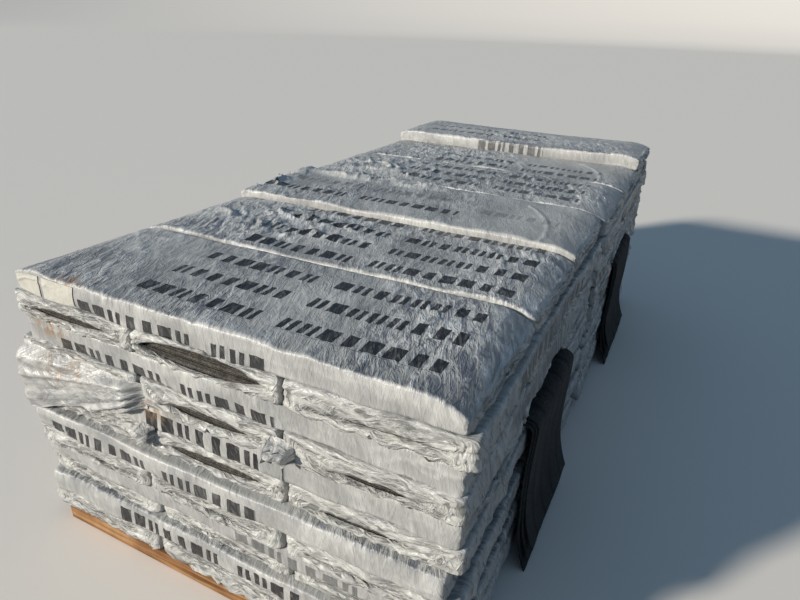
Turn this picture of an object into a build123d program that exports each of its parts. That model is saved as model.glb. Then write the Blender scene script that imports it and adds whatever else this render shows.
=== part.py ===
from build123d import *
from functools import cache
from math import radians, sin
import os

# A stack of film-wrapped asphalt shingle bundles on timber bearers. Sizes are in millimetres.
# While it is put together, X runs along the front face from its left corner, Y runs away
# from the front face and Z is up from the ground. The last step moves the origin to the
# middle of the footprint.

# One pack of shingles and the film round it
SHINGLE_LENGTH = 984
WIDTH_SHARE = 333 / 984     # of the length: three widths to a length, so that courses can lie crossways
SHINGLE_WIDTH = SHINGLE_LENGTH * WIDTH_SHARE
SHINGLE_THICKNESS = 3
FILM_FACE = 2       # film with its folds and the air under it, over the faces and long edges
FILM_END = 8        # film folded over each end of the pack
FILM_CORNER = 4     # bevel that the stretched film makes along the pack's long edges
MOUTH_WIDTH = 224   # slit between the folds at each end, where the shingles' edges show
MOUTH_HEIGHT = 24
MOUTH_CORNER = 34   # length over which the slit closes to a point at each side

# One load: courses of three bundles that lie crossways on each other
BUNDLES_IN_COURSE = 3
COURSE_HEIGHTS = (54, 49, 42, 43, 44, 51, 54, 57, 57, 54, 54, 53)  # from the bottom, pressed flatter low down
GAP_SIDE_BY_SIDE = 6    # between bundles that lie along Y
GAP_IN_DEPTH = 12       # between bundles that lie along X
OVERHANG_LEFT = 12      # how far a course along Y reaches past one along X at the left

# How far each course sits in front of the load's face and to its right, from the bottom
FRONT_FORWARD = (26, 28, 12, 16, 22, 24, 4, 2, 8, 0, 4, 0)
FRONT_SIDEWAYS = (0, -4, 4, -8, 2, -6, -2, 4, -6, 2, 3, 0)
REAR_FORWARD = (4, 0, 8, 2, 6, 0, 8, 4, 0, 6, 2, 0)
REAR_SIDEWAYS = (6, 12, 2, 16, 4, 10, 6, 18, 4, 12, 8, 14)

# The two loads stand one behind the other
LOADS_CLEAR = 0.3               # where the rear load is pushed up against the front one
FRONT_TOP_EXTRA = (0, 0, 14)    # the fuller bundles of each top course, front to back
REAR_TOP_EXTRA = (12, 10, 0)
ODD_BUNDLE_HEIGHT = 47          # the one bundle that lies on top at the back
ODD_BUNDLE_BACK = 4

# Bearers: flat timbers on the ground, under each load
BEARER_THICKNESS = 38
BEARER_WIDTH = 89
BEARER_LENGTH = 970
BEARER_INSET = 25       # from the load's left face
BEARERS = 3
BEARER_EDGE = 2         # worn edge

# Shingles that have slid out of a torn bundle end and hang down the right-hand side
TORN_COURSE = 8         # counted from the bottom
HANGING_SHINGLES = 3
HANGING_GAP = 0.5
HANGING_OFF_GROUND = 1  # under the curled end of the longest one
HANGING_OFF_SIDE = 9.5  # from the right-hand side of the courses below
HANGING_STAGGER = 9     # each one lies this much further along Y than the one under it
HANGING_SHORTER = 26    # and ends this much higher
BEND_RADIUS = 16
CURL_RADIUS = 330
CURL_ANGLE = 24

# Paper label on the front of the top front bundle, at its left end
LABEL_LENGTH = 180
LABEL_INSET = 10
LABEL_THICKNESS = 0.6

WRAPPED_LENGTH = SHINGLE_LENGTH + 2 * FILM_END
WRAPPED_WIDTH = SHINGLE_WIDTH + 2 * FILM_FACE
PITCH_SIDE_BY_SIDE = WRAPPED_WIDTH + GAP_SIDE_BY_SIDE
PITCH_IN_DEPTH = WRAPPED_WIDTH + GAP_IN_DEPTH
LOAD_DEPTH = (BUNDLES_IN_COURSE - 1) * PITCH_IN_DEPTH + WRAPPED_WIDTH
COURSE_DEPTHS = [LOAD_DEPTH if course % 2 else WRAPPED_LENGTH for course in range(len(COURSE_HEIGHTS))]
REAR_LOAD_Y = LOADS_CLEAR + max(
    depth - front + rear for depth, front, rear in zip(COURSE_DEPTHS, FRONT_FORWARD, REAR_FORWARD)
)
LOADS = {
    "front": (0, FRONT_FORWARD, FRONT_SIDEWAYS, FRONT_TOP_EXTRA),
    "rear": (REAR_LOAD_Y, REAR_FORWARD, REAR_SIDEWAYS, REAR_TOP_EXTRA),
}


def mouth_cutter(x, height):
    """Flat lens through the film at one end, as high as the slit."""
    half = MOUTH_WIDTH / 2
    points = [
        (-half, 0),
        (-half + MOUTH_CORNER, -height / 2),
        (half - MOUTH_CORNER, -height / 2),
        (half, 0),
        (half - MOUTH_CORNER, height / 2),
        (-half + MOUTH_CORNER, height / 2),
    ]
    with BuildPart() as cutter:
        with BuildSketch(Plane.YZ.offset(x)):
            Polygon(*points, align=None)
        extrude(amount=FILM_END)
    return cutter.part


@cache
def film_wrapper(height, torn=False):
    """Film round one pack, along X from x = 0, its middle on y = 0, standing on z = 0."""
    with BuildPart() as film:
        with BuildSketch(Plane.YZ):
            with Locations((0, height / 2)):
                outline = Rectangle(WRAPPED_WIDTH, height)
            chamfer(outline.vertices(), FILM_CORNER)
        extrude(amount=WRAPPED_LENGTH)
    body = film.part - shingle_pack(height)
    mouth_height = min(MOUTH_HEIGHT, height - 4 * FILM_FACE)
    body -= Pos(0, 0, height / 2) * mouth_cutter(0, mouth_height)
    last = WRAPPED_LENGTH - FILM_END
    if torn:
        align = (Align.MIN, Align.CENTER, Align.MIN)
        return body - Pos(last, 0, 0) * Box(FILM_END, WRAPPED_WIDTH, height, align=align)
    return body - Pos(0, 0, height / 2) * mouth_cutter(last, mouth_height)


@cache
def shingle_pack(height):
    """The shingles of one bundle, pressed into one block, where they lie in its film."""
    block = Box(
        SHINGLE_LENGTH,
        SHINGLE_WIDTH,
        height - 2 * FILM_FACE,
        align=(Align.MIN, Align.CENTER, Align.MIN),
    )
    return Pos(FILM_END, 0, FILM_FACE) * block


def course_places(course, load):
    """Where each bundle of a course starts: its left end's middle, or its front end's middle."""
    start_y, forward, sideways, _ = LOADS[load]
    z = BEARER_THICKNESS + sum(COURSE_HEIGHTS[:course])
    y = start_y - forward[course]
    x = sideways[course]
    places = []
    for row in range(BUNDLES_IN_COURSE):
        if course % 2:
            middle = y + WRAPPED_WIDTH / 2 + row * PITCH_IN_DEPTH
            places.append(Pos(x, middle, z))
        else:
            middle = x - OVERHANG_LEFT + WRAPPED_WIDTH / 2 + row * PITCH_SIDE_BY_SIDE
            places.append(Pos(middle, y, z) * Rot(0, 0, 90))
    return places


def bundle_heights(course, load):
    """Height of each bundle of a course; only the top course has fuller ones."""
    height = COURSE_HEIGHTS[course]
    if course < len(COURSE_HEIGHTS) - 1:
        return [height] * BUNDLES_IN_COURSE
    return [height + extra for extra in LOADS[load][3]]


def right_side(course, load):
    """How far a course reaches to the right."""
    sideways = LOADS[load][2][course]
    if course % 2:
        return sideways + WRAPPED_LENGTH
    return sideways - OVERHANG_LEFT + (BUNDLES_IN_COURSE - 1) * PITCH_SIDE_BY_SIDE + WRAPPED_WIDTH


def hanging_shingle(number, height, reach):
    """One bent shingle: out of the pack at x = 0 and z = 0, over the edge and down, curling out.

    The pack's shingle lies at that height over the ground, and the bend starts reach away from it.
    """
    step = number * (SHINGLE_THICKNESS + HANGING_GAP)
    radius = BEND_RADIUS + step
    curl_radius = CURL_RADIUS - step
    curl_drop = (curl_radius + SHINGLE_THICKNESS / 2) * sin(radians(CURL_ANGLE))
    straight = height + step - radius - curl_drop - HANGING_OFF_GROUND - number * HANGING_SHORTER
    with BuildPart() as shingle:
        with BuildLine(Plane.XZ) as route:
            out = Line((0, step), (reach, step))
            bend = TangentArc((reach, step), (reach + radius, step - radius), tangent=out % 1)
            fall = Line(bend @ 1, bend @ 1 - (0, straight))
            JernArc(fall @ 1, fall % 1, curl_radius, CURL_ANGLE)
        with BuildSketch(Plane(origin=(0, 0, step), x_dir=(0, 1, 0), z_dir=(1, 0, 0))):
            Rectangle(SHINGLE_WIDTH, SHINGLE_THICKNESS)
        sweep(path=route.line)
    along = (number - (HANGING_SHINGLES - 1) / 2) * HANGING_STAGGER
    return Pos(0, along, 0) * shingle.part


def bearer(x, y):
    """One flat timber along X with worn long edges."""
    with BuildPart() as timber:
        Box(
            BEARER_LENGTH,
            BEARER_WIDTH,
            BEARER_THICKNESS,
            align=(Align.MIN, Align.MIN, Align.MIN),
        )
        chamfer(timber.edges().filter_by(Axis.X), BEARER_EDGE)
    return Pos(x, y, 0) * timber.part


def paper_label():
    """Thin sheet on the flat of the top front bundle's long edge."""
    top = BEARER_THICKNESS + sum(COURSE_HEIGHTS)
    face = -FRONT_FORWARD[-1]
    height = COURSE_HEIGHTS[-1] - 2 * FILM_CORNER
    sheet = Box(LABEL_LENGTH, LABEL_THICKNESS, height, align=(Align.MIN, Align.MAX, Align.MAX))
    return Pos(LABEL_INSET, face, top - FILM_CORNER) * sheet


nodes = {}
for load in LOADS:
    packs = []
    for course in range(len(COURSE_HEIGHTS)):
        wrappers = []
        for row, place in enumerate(course_places(course, load)):
            height = bundle_heights(course, load)[row]
            torn = course == TORN_COURSE - 1 and row == 1
            wrappers.append(place * film_wrapper(height, torn))
            packs.append(place * shingle_pack(height))
        nodes[f"{load}_course_{course + 1:02d}_wrappers"] = wrappers
    nodes[f"{load}_shingle_packs"] = packs

    start_y = LOADS[load][0]
    spacing = (COURSE_DEPTHS[0] - BEARER_WIDTH) / (BEARERS - 1)
    for number in range(BEARERS):
        y = start_y - LOADS[load][1][0] + number * spacing
        nodes[f"{load}_bearer_{number + 1}"] = [bearer(BEARER_INSET, y)]

    torn_place = course_places(TORN_COURSE - 1, load)[1]
    pack_end = torn_place * Pos(FILM_END + SHINGLE_LENGTH, 0, COURSE_HEIGHTS[TORN_COURSE - 1] / 3)
    side = max(right_side(course, load) for course in range(TORN_COURSE - 1))
    fall_x = side + HANGING_OFF_SIDE + SHINGLE_THICKNESS / 2
    reach = max(fall_x - BEND_RADIUS - pack_end.position.X, SHINGLE_THICKNESS)
    nodes[f"{load}_hanging_shingles"] = [
        pack_end * hanging_shingle(number, pack_end.position.Z, reach)
        for number in range(HANGING_SHINGLES)
    ]

top_of_rear_row = BEARER_THICKNESS + sum(COURSE_HEIGHTS) + REAR_TOP_EXTRA[-1]
odd_place = course_places(len(COURSE_HEIGHTS) - 1, "rear")[-1]
odd_place = Pos(odd_place.position.X, odd_place.position.Y + ODD_BUNDLE_BACK, top_of_rear_row)
nodes["odd_bundle_wrapper"] = [odd_place * film_wrapper(ODD_BUNDLE_HEIGHT)]
nodes["odd_bundle_shingles"] = [odd_place * shingle_pack(ODD_BUNDLE_HEIGHT)]
nodes["paper_label"] = [paper_label()]

boxes = [solid.bounding_box() for solids in nodes.values() for solid in solids]
low = [min(tuple(box.min)[axis] for box in boxes) for axis in range(3)]
high = [max(tuple(box.max)[axis] for box in boxes) for axis in range(3)]
to_middle = Pos(-(low[0] + high[0]) / 2, -(low[1] + high[1]) / 2, -low[2])
os.makedirs("parts", exist_ok=True)
for node, solids in nodes.items():
    export_step(Compound(children=[to_middle * solid for solid in solids], label=node), f"parts/{node}.step")
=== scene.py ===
import math
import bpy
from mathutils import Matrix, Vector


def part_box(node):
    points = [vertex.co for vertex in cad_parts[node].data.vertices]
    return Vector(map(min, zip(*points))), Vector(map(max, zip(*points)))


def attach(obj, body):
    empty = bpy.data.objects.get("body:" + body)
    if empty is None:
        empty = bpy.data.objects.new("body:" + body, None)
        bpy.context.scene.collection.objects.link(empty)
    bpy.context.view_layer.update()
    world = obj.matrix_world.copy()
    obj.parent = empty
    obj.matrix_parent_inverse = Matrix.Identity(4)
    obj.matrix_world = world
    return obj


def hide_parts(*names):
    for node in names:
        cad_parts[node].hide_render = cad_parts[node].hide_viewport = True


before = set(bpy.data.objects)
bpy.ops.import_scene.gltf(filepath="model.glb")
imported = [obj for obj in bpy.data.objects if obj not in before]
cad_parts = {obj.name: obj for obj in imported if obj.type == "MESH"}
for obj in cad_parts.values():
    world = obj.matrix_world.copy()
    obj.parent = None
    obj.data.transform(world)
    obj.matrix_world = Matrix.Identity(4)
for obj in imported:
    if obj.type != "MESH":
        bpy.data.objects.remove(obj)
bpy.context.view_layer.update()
import zlib
from types import SimpleNamespace

import bpy
import numpy as np
from mathutils import Matrix, Vector

# The stack stands on a pale floor under soft studio light. The camera looks down on it from beyond
# its front right corner, from where the photograph was taken. The key lamp is low and to the left,
# so the front is the brightest side and the right-hand side lies in shade.
TOP_COURSE_HEIGHT = 0.053
CAMERA_FROM_CORNER = Vector((1.2047, -0.6651, 0.4826))
YAW, PITCH, ROLL = -0.45064, 0.44010, 0.03530
FOCAL_LENGTH, SENSOR_WIDTH = 26.8695, 36

first_low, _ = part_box("front_course_12_wrappers")
front_corner = Vector((first_low.x, first_low.y, first_low.z + TOP_COURSE_HEIGHT))
looking = Vector((math.sin(YAW) * math.cos(PITCH), math.cos(YAW) * math.cos(PITCH), -math.sin(PITCH)))
level_right = Vector((math.cos(YAW), -math.sin(YAW), 0))
level_up = level_right.cross(looking)
right = math.cos(ROLL) * level_right + math.sin(ROLL) * level_up
up = -math.sin(ROLL) * level_right + math.cos(ROLL) * level_up
facing = Matrix((right, up, -looking)).transposed().to_4x4()
camera = bpy.data.objects.new("camera", bpy.data.cameras.new("camera"))
camera.data.lens = FOCAL_LENGTH
camera.data.sensor_width = SENSOR_WIDTH
camera.data.clip_end = 200
camera.matrix_world = Matrix.Translation(front_corner + CAMERA_FROM_CORNER) @ facing
bpy.context.scene.collection.objects.link(camera)
bpy.context.scene.camera = camera
bpy.context.scene.view_settings.view_transform = "Standard"


# The floor is a round sheet whose far rim slopes up, so that it is its own backdrop. It is pale to the
# eye, and lights the stack no more than plain ground does. One soft lamp and a faint blue sky light it.
FLOOR_RADIUS, FLOOR_SIDES = 40, 180
FLOOR_RINGS = ((0.9, 0), (0.97, 0), (1, 0), (1.05, 0.003), (1.1, 0.011), (1.2, 0.04), (1.35, 0.1), (1.5, 0.17))
PALE_TO_THE_EYE = (0.95, 0.885, 0.805, 1)
PLAIN_GROUND = (0.20, 0.208, 0.218, 1)
LAMP_DIRECTION = Vector((0.60, 0.74, -0.335))


def new_material(name, roughness, specular):
    """A material, and a function that adds nodes to it: inputs that are sockets are linked, others are set."""
    material = bpy.data.materials.new(name)
    material.use_nodes = True
    tree = material.node_tree
    shader = tree.nodes["Principled BSDF"]
    shader.inputs["Roughness"].default_value = roughness
    shader.inputs["Specular IOR Level"].default_value = specular

    def make(kind, inputs=None, **values):
        node = tree.nodes.new(kind)
        for name, value in values.items():
            setattr(node, name, value)
        for key, value in (inputs or {}).items():
            if isinstance(value, bpy.types.NodeSocket):
                tree.links.new(value, node.inputs[key])
            else:
                node.inputs[key].default_value = value
        return node

    return material, make


def math_node(make, operation, *values):
    """One sum of values or sockets."""
    return make("ShaderNodeMath", dict(enumerate(values)), operation=operation).outputs[0]


def joined(make, operation, first, *others):
    """Values joined one after another by the same operation."""
    for other in others:
        first = math_node(make, operation, first, other)
    return first


def mix_colors(make, factor, first, second, blend_type="MIX"):
    """The first colour with the second over it, as strong as the factor."""
    mix = make("ShaderNodeMix", data_type="RGBA", blend_type=blend_type)
    sockets = {socket.name: socket for socket in mix.inputs if socket.enabled}
    for key, value in (("Factor", factor), ("A", first), ("B", second)):
        if isinstance(value, bpy.types.NodeSocket):
            mix.id_data.links.new(value, sockets[key])
        else:
            sockets[key].default_value = value
    return [output for output in mix.outputs if output.enabled][0]


def dress(material, make, color, height=None, strength=1.0, distance=0.001):
    """Links a colour to a material's shader, and a relief of the given height."""
    link, shader = material.node_tree.links.new, material.node_tree.nodes["Principled BSDF"]
    link(color, shader.inputs["Base Color"])
    if height is not None:
        relief = make("ShaderNodeBump", {"Height": height, "Strength": strength, "Distance": distance})
        link(relief.outputs["Normal"], shader.inputs["Normal"])


floor_points, floor_faces = [(0, 0, 0)], []
for reach, rise in FLOOR_RINGS:
    for side in range(FLOOR_SIDES):
        turn = 2 * math.pi * side / FLOOR_SIDES
        floor_points.append((reach * FLOOR_RADIUS * math.cos(turn), reach * FLOOR_RADIUS * math.sin(turn),
                             rise * FLOOR_RADIUS))
for side in range(FLOOR_SIDES):
    after = (side + 1) % FLOOR_SIDES
    floor_faces.append((0, 1 + side, 1 + after))
    for first in range(1, 1 + FLOOR_SIDES * (len(FLOOR_RINGS) - 1), FLOOR_SIDES):
        beyond = first + FLOOR_SIDES
        floor_faces.append((first + side, beyond + side, beyond + after, first + after))
mesh = bpy.data.meshes.new("floor")
mesh.from_pydata(floor_points, [], floor_faces)
mesh.polygons.foreach_set("use_smooth", [True] * len(floor_faces))
pale_floor, make = new_material("pale_floor", 0.9, 0.2)
rays = make("ShaderNodeLightPath").outputs
seen = joined(make, "MAXIMUM", rays["Is Camera Ray"], rays["Is Glossy Ray"], rays["Is Transmission Ray"])
dress(pale_floor, make, mix_colors(make, seen, PLAIN_GROUND, PALE_TO_THE_EYE))
mesh.materials.append(pale_floor)
floor = bpy.data.objects.new("floor", mesh)
bpy.context.scene.collection.objects.link(floor)

key = bpy.data.lights.new("key", "SUN")
key.energy = 4.1
key.color = (1.0, 0.95, 0.865)
key.angle = math.radians(5)
key_lamp = bpy.data.objects.new("key", key)
key_lamp.rotation_euler = LAMP_DIRECTION.to_track_quat("-Z", "Y").to_euler()
bpy.context.scene.collection.objects.link(key_lamp)
studio = bpy.data.worlds.new("studio")
bpy.context.scene.world = studio
studio.use_nodes = True
studio.node_tree.nodes["Background"].inputs["Color"].default_value = (0.43, 0.68, 1.0, 1)
studio.node_tree.nodes["Background"].inputs["Strength"].default_value = 0.23


# Bearers: flat softwood timbers, rough sawn, damp and dusty. They lie flat on the ground across the
# stack, and the first course of bundles rests on them.
LOADS = ("front", "rear")
BEARER_THICKNESS = 0.038


def color_ramp(make, factor, stops):
    """A ramp through (place, colour) stops."""
    ramp = make("ShaderNodeValToRGB", {"Fac": factor})
    elements = ramp.color_ramp.elements
    while len(elements) < len(stops):
        elements.new(0.5)
    for element, (place, color) in zip(elements, stops):
        element.position = place
        element.color = (*color, 1)
    return ramp.outputs["Color"]


sawn_timber, make = new_material("sawn_timber", 0.85, 0.2)
place = make("ShaderNodeTexCoord").outputs["Object"]
grain_place = make("ShaderNodeMapping", {"Vector": place, "Scale": (3, 70, 70)}).outputs["Vector"]
grain = make("ShaderNodeTexNoise", {"Vector": grain_place, "Scale": 1.6, "Detail": 8, "Distortion": 0.6})
grain = grain.outputs["Fac"]
dust = make("ShaderNodeTexNoise", {"Vector": place, "Scale": 9, "Detail": 5}).outputs["Fac"]
wood = color_ramp(make, grain, [
    (0.3, (0.17, 0.075, 0.028)), (0.5, (0.40, 0.20, 0.085)), (0.72, (0.62, 0.38, 0.19)),
])
dirt = color_ramp(make, dust, [(0.42, (0.55, 0.5, 0.45)), (0.6, (1, 1, 1))])
dress(sawn_timber, make, mix_colors(make, 0.8, wood, dirt, "MULTIPLY"), grain, 0.7, 0.0015)
for load in LOADS:
    for number in (1, 2, 3):
        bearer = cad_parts[f"{load}_bearer_{number}"]
        bearer.data.materials.clear()
        bearer.data.materials.append(sawn_timber)


# Shingles: asphalt mats with mineral granules, sixteen or so pressed together in each pack. They
# lie a little out of line, and their edges show in the slits at the ends of the film.
WRAPPED_LENGTH, WRAPPED_WIDTH = 1.000, 0.337
FILM_END, FILM_FACE = 0.008, 0.002
SHINGLE_LENGTH = WRAPPED_LENGTH - 2 * FILM_END
SHINGLE_WIDTH = WRAPPED_WIDTH - 2 * FILM_FACE
SHINGLE_PITCH = 0.0031
PACK_SLACK = 0.0016
PACK_STATIONS = (0.03, 0.06, 0.12, 0.3, 0.5, 0.7, 0.88, 0.94, 0.97)
COURSES = 12
TOP_HEIGHTS = {"front": (0.053, 0.053, 0.067), "rear": (0.065, 0.063, 0.053)}
TOP_NEAR_DROP, TOP_FAR_DROPS = 0.012, (0.026, 0.022, 0.020)


def seeded(*words):
    """Random numbers that are the same at every run."""
    return np.random.default_rng(zlib.crc32(" ".join(str(w) for w in words).encode()))


def bundles_of(load, course):
    """Each bundle's matrix from its own frame, its height and its row. In its own frame a bundle runs along X
    from 0, its middle on Y = 0, and stands on Z = 0. Courses count from 1 at the bottom. Odd ones are turned
    to run along Y."""
    low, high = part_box(f"{load}_course_{course:02d}_wrappers")
    for row in range(3):
        height = TOP_HEIGHTS[load][row] if course == COURSES else high.z - low.z
        if course % 2:
            pitch_across = (high.x - low.x - WRAPPED_WIDTH) / 2
            start = Vector((low.x + WRAPPED_WIDTH / 2 + row * pitch_across, low.y, low.z))
            yield Matrix.Translation(start) @ Matrix.Rotation(math.pi / 2, 4, "Z"), height, row
        else:
            pitch_back = (high.y - low.y - WRAPPED_WIDTH) / 2
            start = Vector((low.x, low.y + WRAPPED_WIDTH / 2 + row * pitch_back, low.z))
            yield Matrix.Translation(start), height, row


def settle(points):
    """The points as the loads have settled: they dip a little, more so higher up, and the courses drift."""
    x, y, z = points[:, 0], points[:, 1], points[:, 2]
    share = np.clip((z - BEARER_THICKNESS) / 0.6, 0, 1.1)
    dip = 0.0028 * np.sin(4.2 * x + 1.2) * np.cos(2.9 * y + 0.4) + 0.0018 * np.sin(5.2 * y - 2.6 * x)
    drift = 0.0016 * np.sin(23 * z + 2.0 * y), 0.0018 * np.sin(19 * z + 3.0 * x)
    return points + np.stack([drift[0], drift[1], share * (dip - 0.0025)], axis=1)


def end_drops(course, row):
    """How far the two ends of a bundle's top drop."""
    return (TOP_NEAR_DROP, TOP_FAR_DROPS[row]) if course == COURSES else (0.0, 0.0)


def laid(points, height, drops, matrix):
    """A bundle's points in their place in the stack, with its top lowered towards the two ends by drops."""
    x, share = points[:, 0], np.clip(points[:, 2] / height, 0, 1.2) ** 1.4
    drop = drops[0] * np.clip(1 - x / 0.07, 0, 1.1) ** 2
    drop += drops[1] * np.clip(1 - (WRAPPED_LENGTH - x) / 0.08, 0, 1.1) ** 2
    points = points - np.stack([0 * x, 0 * x, drop * share], axis=1)
    turned = np.array(matrix)
    return settle(points @ turned[:3, :3].T + turned[:3, 3])


def pack_of_shingles(height, random):
    """Long flat boxes, one for each shingle of a pack, and a tint for each: points, faces and tints."""
    count = int(round((height - 2 * FILM_FACE) / SHINGLE_PITCH))
    pitch = (height - 2 * FILM_FACE - PACK_SLACK) / count
    points, faces, tints = [], [], []
    for number in range(count):
        first = len(points)
        near = FILM_END + random.uniform(0.0002, 0.0034)
        far = WRAPPED_LENGTH - FILM_END - random.uniform(0.0002, 0.0034)
        aside = random.uniform(-0.0008, 0.0008)
        half = SHINGLE_WIDTH / 2 - 0.0012 - (0.003 if number in (0, count - 1) else 0)
        low = FILM_FACE + 0.0003 + number * pitch
        high = low + 0.86 * pitch
        stations = (near, *PACK_STATIONS, far)
        for x in stations:
            points += [(x, aside + y, z) for y, z in ((-half, low), (half, low), (half, high), (-half, high))]
        faces.append((first, first + 3, first + 2, first + 1))
        for a in range(first, len(points) - 4, 4):
            faces += [(a + k, a + (k + 1) % 4, a + 4 + (k + 1) % 4, a + 4 + k) for k in range(4)]
        faces.append(tuple(range(len(points) - 4, len(points))))
        tints += [random.uniform(0, 1)] * (4 * len(stations))
    return np.array(points), np.array(faces), np.array(tints)


def mesh_piece(name, points, faces, smooth, uvs=None, values=None):
    """An object from arrays of points and of faces with three or four corners. uvs are given for each corner,
    and values for each point."""
    loops = np.concatenate([some.ravel() for some in faces])
    sizes = np.concatenate([np.full(len(some), some.shape[1]) for some in faces])
    mesh = bpy.data.meshes.new(name)
    mesh.vertices.add(len(points))
    mesh.vertices.foreach_set("co", points.astype(np.float32).ravel())
    mesh.loops.add(len(loops))
    mesh.loops.foreach_set("vertex_index", loops.astype(np.int32))
    mesh.polygons.add(len(sizes))
    starts = np.concatenate([[0], np.cumsum(sizes)[:-1]])
    mesh.polygons.foreach_set("loop_start", starts.astype(np.int32))
    mesh.polygons.foreach_set("loop_total", sizes.astype(np.int32))
    mesh.polygons.foreach_set("use_smooth", np.full(len(sizes), smooth))
    for layer, uv in (uvs or {}).items():
        mesh.uv_layers.new(name=layer).data.foreach_set("uv", uv.astype(np.float32).ravel())
    for attribute, value in (values or {}).items():
        mesh.attributes.new(attribute, "FLOAT", "POINT").data.foreach_set("value", value.astype(np.float32))
    mesh.update(calc_edges=True)
    mesh.validate()
    piece = bpy.data.objects.new(name, mesh)
    bpy.context.scene.collection.objects.link(piece)
    return piece


def fit(piece, material, node=None):
    """Gives a piece its material and slot, lets it stand for a CAD node, and fixes it to the stack."""
    piece.data.materials.append(material)
    if node:
        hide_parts(node)
    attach(piece, "root")


def attribute(make, name):
    """A value that the mesh holds for each of its points."""
    return make("ShaderNodeAttribute", attribute_name=name).outputs["Fac"]


granule_shingle, make = new_material("granule_shingle", 0.95, 0.25)
place = make("ShaderNodeTexCoord").outputs["Object"]
granules = make("ShaderNodeTexVoronoi", {"Vector": place, "Scale": 620})
patches = make("ShaderNodeTexNoise", {"Vector": place, "Scale": 45, "Detail": 6}).outputs["Fac"]
speckle = make("ShaderNodeSeparateColor", {"Color": granules.outputs["Color"]}).outputs["Red"]
tint_share = math_node(make, "MULTIPLY", attribute(make, "tint"), 0.5)
shade = math_node(make, "MULTIPLY", joined(make, "ADD", speckle, patches, tint_share), 0.42)
granule_color = color_ramp(make, shade, [
    (0.12, (0.014, 0.013, 0.012)), (0.45, (0.060, 0.054, 0.046)),
    (0.72, (0.155, 0.142, 0.122)), (0.95, (0.34, 0.32, 0.29)),
])
dress(granule_shingle, make, granule_color, granules.outputs["Distance"], 0.6, 0.001)

for load in LOADS:
    points, faces, tints, count = [], [], [], 0
    for course in range(1, COURSES + 1):
        for matrix, height, row in bundles_of(load, course):
            pack, pack_faces, pack_tints = pack_of_shingles(height, seeded("pack", load, course, row))
            points.append(laid(pack, height, end_drops(course, row), matrix))
            faces.append(pack_faces + count)
            tints.append(pack_tints)
            count += len(pack)
    piece = mesh_piece(f"{load}_shingles", np.concatenate(points), faces, False,
                       values={"tint": np.concatenate(tints)})
    fit(piece, granule_shingle, f"{load}_shingle_packs")


# Film wrappers: printed grey polyethylene sleeves shrunk round each pack. The film is creased and a
# little loose, hangs over the gaps below it, and at each end it closes over the pack's corners to a
# slit in which the shingles' edges show.
CORNER_RADIUS = 0.0055
END_DEPTH = 0.011
END_TURNS = (0, 12, 24, 35, 45, 54, 63, 72, 81, 90)
HIDDEN_END_TURNS = (0, 45, 90)
INSIDE_TURN = 100
HIDDEN_END, SHOWN_END, FRONT_END = 0, 1, 2
END_SPACINGS = (0.05, 0.0062, 0.0046)


def perlin(x, y, seed):
    """Smooth noise from about -1 to 1, one wave to a unit or so."""
    table = np.random.default_rng(seed).permutation(256)
    xi, yi = np.floor(x).astype(np.int64), np.floor(y).astype(np.int64)
    xf, yf = x - xi, y - yi
    u, v = xf * xf * xf * (xf * (xf * 6 - 15) + 10), yf * yf * yf * (yf * (yf * 6 - 15) + 10)

    def corner(ix, iy, dx, dy):
        angle = table[(table[ix & 255] + iy) & 255] * (2 * np.pi / 256)
        return np.cos(angle) * dx + np.sin(angle) * dy

    bottom = corner(xi, yi, xf, yf) * (1 - u) + corner(xi + 1, yi, xf - 1, yf) * u
    top = corner(xi, yi + 1, xf, yf - 1) * (1 - u) + corner(xi + 1, yi + 1, xf - 1, yf - 1) * u
    return 1.5 * (bottom * (1 - v) + top * v)


def crease(x, y, seed, sharpness=0.13):
    """Thin winding ridges, 1 on the ridge and 0 away from it."""
    return np.exp(-np.abs(perlin(x, y, seed)) / (0.8 * sharpness))


def smooth_step(x, low, high):
    """0 below low and 1 above high, with a smooth rise between them."""
    t = np.clip((x - low) / (high - low), 0, 1)
    return t * t * (3 - 2 * t)


def section(p, a, b, r):
    """Points round a rounded rectangle, p from the middle of its bottom, front side first, and where its nine
    parts start."""
    quarter = math.pi * r / 2
    lengths = [a - r, quarter, 2 * (b - r), quarter, 2 * (a - r), quarter, 2 * (b - r), quarter, a - r]
    starts = np.concatenate([[0], np.cumsum(lengths)])
    part = np.clip(np.searchsorted(starts, p, side="right") - 1, 0, 8)
    t = p - starts[part]
    sin, cos = r * np.sin(t / r), r * np.cos(t / r)
    one = np.ones_like(p)
    flat_a, flat_b = (a - r) * one, (b - r) * one
    y = np.choose(part, [-t, -flat_a - sin, -a * one, -flat_a - cos, t - flat_a,
                         flat_a + sin, a * one, flat_a + cos, flat_a - t])
    z = np.choose(part, [-b * one, -flat_b - cos, t - flat_b, flat_b + sin, b * one,
                         flat_b + cos, flat_b - t, -flat_b - sin, -b * one])
    return y, z, starts


def round_steps(a, b, r, steps):
    """Distances round the section: steps gives the spacing on the bottom, front, top and back."""
    starts = section(np.zeros(1), a, b, r)[2]
    bottom, front, top, back = steps
    spacing = [bottom, min(bottom, front), front, min(front, top), top,
               min(top, back), back, min(back, bottom), bottom]
    spacing = [(r * 0.55 if s < 0.01 else 2 * r) if k % 2 else s for k, s in enumerate(spacing)]
    out = []
    for k in range(9):
        count = max(1, math.ceil((starts[k + 1] - starts[k]) / spacing[k]))
        out.append(starts[k] + (starts[k + 1] - starts[k]) * np.arange(count) / count)
    return np.concatenate(out), starts[-1]


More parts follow.
